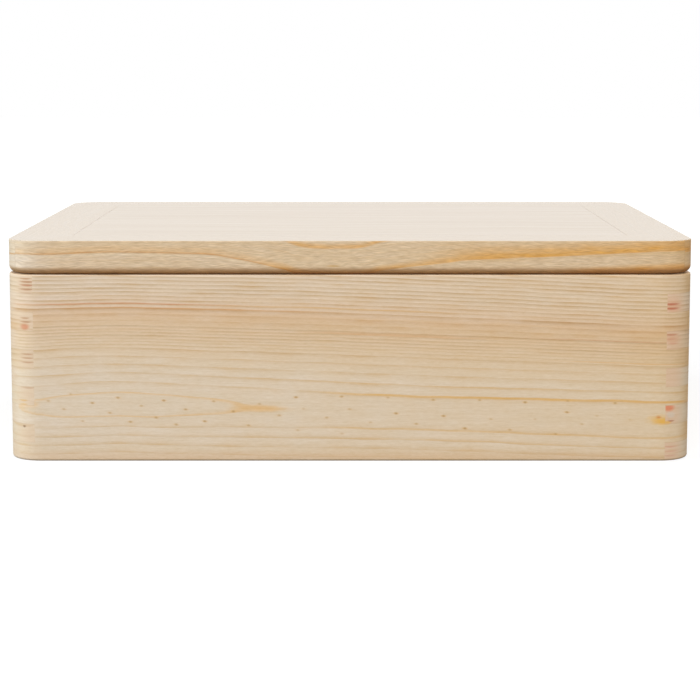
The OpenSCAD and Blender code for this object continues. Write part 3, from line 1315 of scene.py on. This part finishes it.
class Hinges(Group):
    """The two hinges with their screws."""

    def dress(self, leaf_metal: bpy.types.Material, screw_metal: bpy.types.Material) -> None:
        """Dresses both hinges.

        Args:
            leaf_metal: The material of the leaves and pins.
            screw_metal: The material of the screws.
        """
        for name in self.nodes:
            if "_hinge_" in name:
                self.cover(name, screw_metal if name.endswith("screws") else leaf_metal)


@dataclass(frozen=True)
class Lamp:
    """A soft square lamp that faces the box and that shiny surfaces don't mirror.

    Fields give its name, its place and the length of its sides in metres, its power
    in watts and its colour.
    """

    name: str
    place: tuple[float, float, float]
    size: float
    power: float
    colour: Colour = (1.0, 1.0, 1.0)

    def hang(self) -> None:
        """Hangs the lamp in its place."""
        data = bpy.data.lights.new(self.name, "AREA")
        data.shape = "SQUARE"
        data.size = self.size
        data.energy = self.power
        data.color = self.colour
        lamp = add_object(self.name, data)
        lamp.location = self.place
        lamp.visible_glossy = False
        aim = Vector(LAMP_TARGET) - Vector(self.place)
        lamp.rotation_euler = aim.to_track_quat("-Z", "Y").to_euler()


@dataclass
class Studio:
    """The floor, the lamps, the surroundings and the camera. Lengths are in metres."""

    lens: float = 99.07
    lens_shift: float = -0.10
    camera_back: float = 1.107
    camera_height: float = 0.2356
    camera_pitch: float = 6.646
    sensor_width: float = 36.0
    floor_size: float = 12.0
    floor_colour: Colour = (0.16, 0.16, 0.16)
    floor_seen_colour: Colour = (0.3, 0.3, 0.3)
    floor_glow: float = 0.74
    floor_glow_gain: float = 0.25
    floor_glow_reach: tuple[float, float] = (0.6, 2.4)
    ambient: float = 0.20
    lamps: Sequence[Lamp] = (
        Lamp("window_lamp", (-3.6, -0.5, 1.2), 2.2, 134.0, (0.84, 0.94, 1.0)),
        Lamp("front_lamp", (-0.1, -3.2, 1.7), 2.0, 98.0),
        Lamp("right_lamp", (3.4, -1.4, 1.4), 2.0, 36.0, (1.0, 0.95, 0.88)),
        Lamp("back_lamp", (1.8, 3.2, 0.9), 1.7, 108.0),
    )

    def build(self, front: float) -> None:
        """Builds the studio.

        Args:
            front: Where the object's front face stands along Y.
        """
        self._floor()
        self._surroundings()
        for lamp in self.lamps:
            lamp.hang()
        self._camera(front)

    def _floor(self) -> None:
        """Lays the pale floor."""
        mesh = bpy.data.meshes.new("floor")
        shape = bmesh.new()
        bmesh.ops.create_grid(shape, x_segments=1, y_segments=1, size=self.floor_size / 2)
        shape.to_mesh(mesh)
        shape.free()
        floor = add_object("floor", mesh)
        tree = NodeTree(bpy.data.materials.new("floor_paint"))
        seen = tree.ray("Camera")
        diffuse = tree.add("BsdfDiffuse",
                           Color=tree.mix(seen, self.floor_colour, self.floor_seen_colour))
        x, y, _ = tree.split(tree.coordinates("Object"))
        far = x.hypot(y).ease(*self.floor_glow_reach)
        glow = tree.add("Emission", Strength=seen * (far * self.floor_glow_gain + self.floor_glow))
        blend = tree.add("AddShader")
        tree.links.new(diffuse.outputs[0], blend.inputs[0])
        tree.links.new(glow.outputs[0], blend.inputs[1])
        tree.add("OutputMaterial", Surface=Wire(tree, blend.outputs[0]))
        floor.data.materials.append(tree.owner)

    def _surroundings(self) -> None:
        """Surrounds the scene with soft light that the camera and shiny parts see as white."""
        tree = NodeTree(bpy.data.worlds.new("surroundings"))
        bpy.context.scene.world = tree.owner
        seen = tree.math("MAXIMUM", tree.ray("Camera"), tree.ray("Glossy"))
        seen = tree.math("MAXIMUM", seen, tree.ray("Transmission"))
        background = tree.add("Background", Color=(1.0, 1.0, 1.0),
                              Strength=seen * (1.0 - self.ambient) + self.ambient)
        tree.add("OutputWorld", Surface=Wire(tree, background.outputs[0]))

    def _camera(self, front: float) -> None:
        """Sets the camera in front of the box.

        Args:
            front: Where the object's front face stands along Y.
        """
        data = bpy.data.cameras.new("camera")
        data.lens = self.lens
        data.sensor_width = self.sensor_width
        data.shift_y = self.lens_shift
        camera = add_object("camera", data)
        camera.location = (0.0, front - self.camera_back, self.camera_height)
        camera.rotation_euler = (math.radians(90 - self.camera_pitch), 0.0, 0.0)
        bpy.context.scene.camera = camera


def add_object(name: str, data: bpy.types.ID) -> bpy.types.Object:
    """Adds an object to the scene.

    Args:
        name: The object's name.
        data: Its mesh, lamp or camera.

    Returns:
        The object.
    """
    item = bpy.data.objects.new(name, data)
    bpy.context.scene.collection.objects.link(item)
    return item


def main() -> None:
    """Dresses the box, the lid and the hinges, and sets up the studio."""
    logging.basicConfig(level=logging.INFO, format="%(name)s: %(message)s")
    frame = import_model()
    nodes = frame["nodes"]
    bpy.context.scene.view_settings.view_transform = "Standard"
    brass = MetalFinish(srgb(222, 184, 104), srgb(176, 134, 66), 0.28, 1.0).material("brass")
    zinc = MetalFinish(srgb(214, 214, 212), srgb(168, 168, 166), 0.24, 0.8).material("zinc")
    Carcass(nodes).dress(zinc)
    Lid(nodes).dress()
    Hinges(nodes).dress(brass, zinc)
    Studio().build(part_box("front_board")[0].y)


if __name__ == "__main__":
    main()
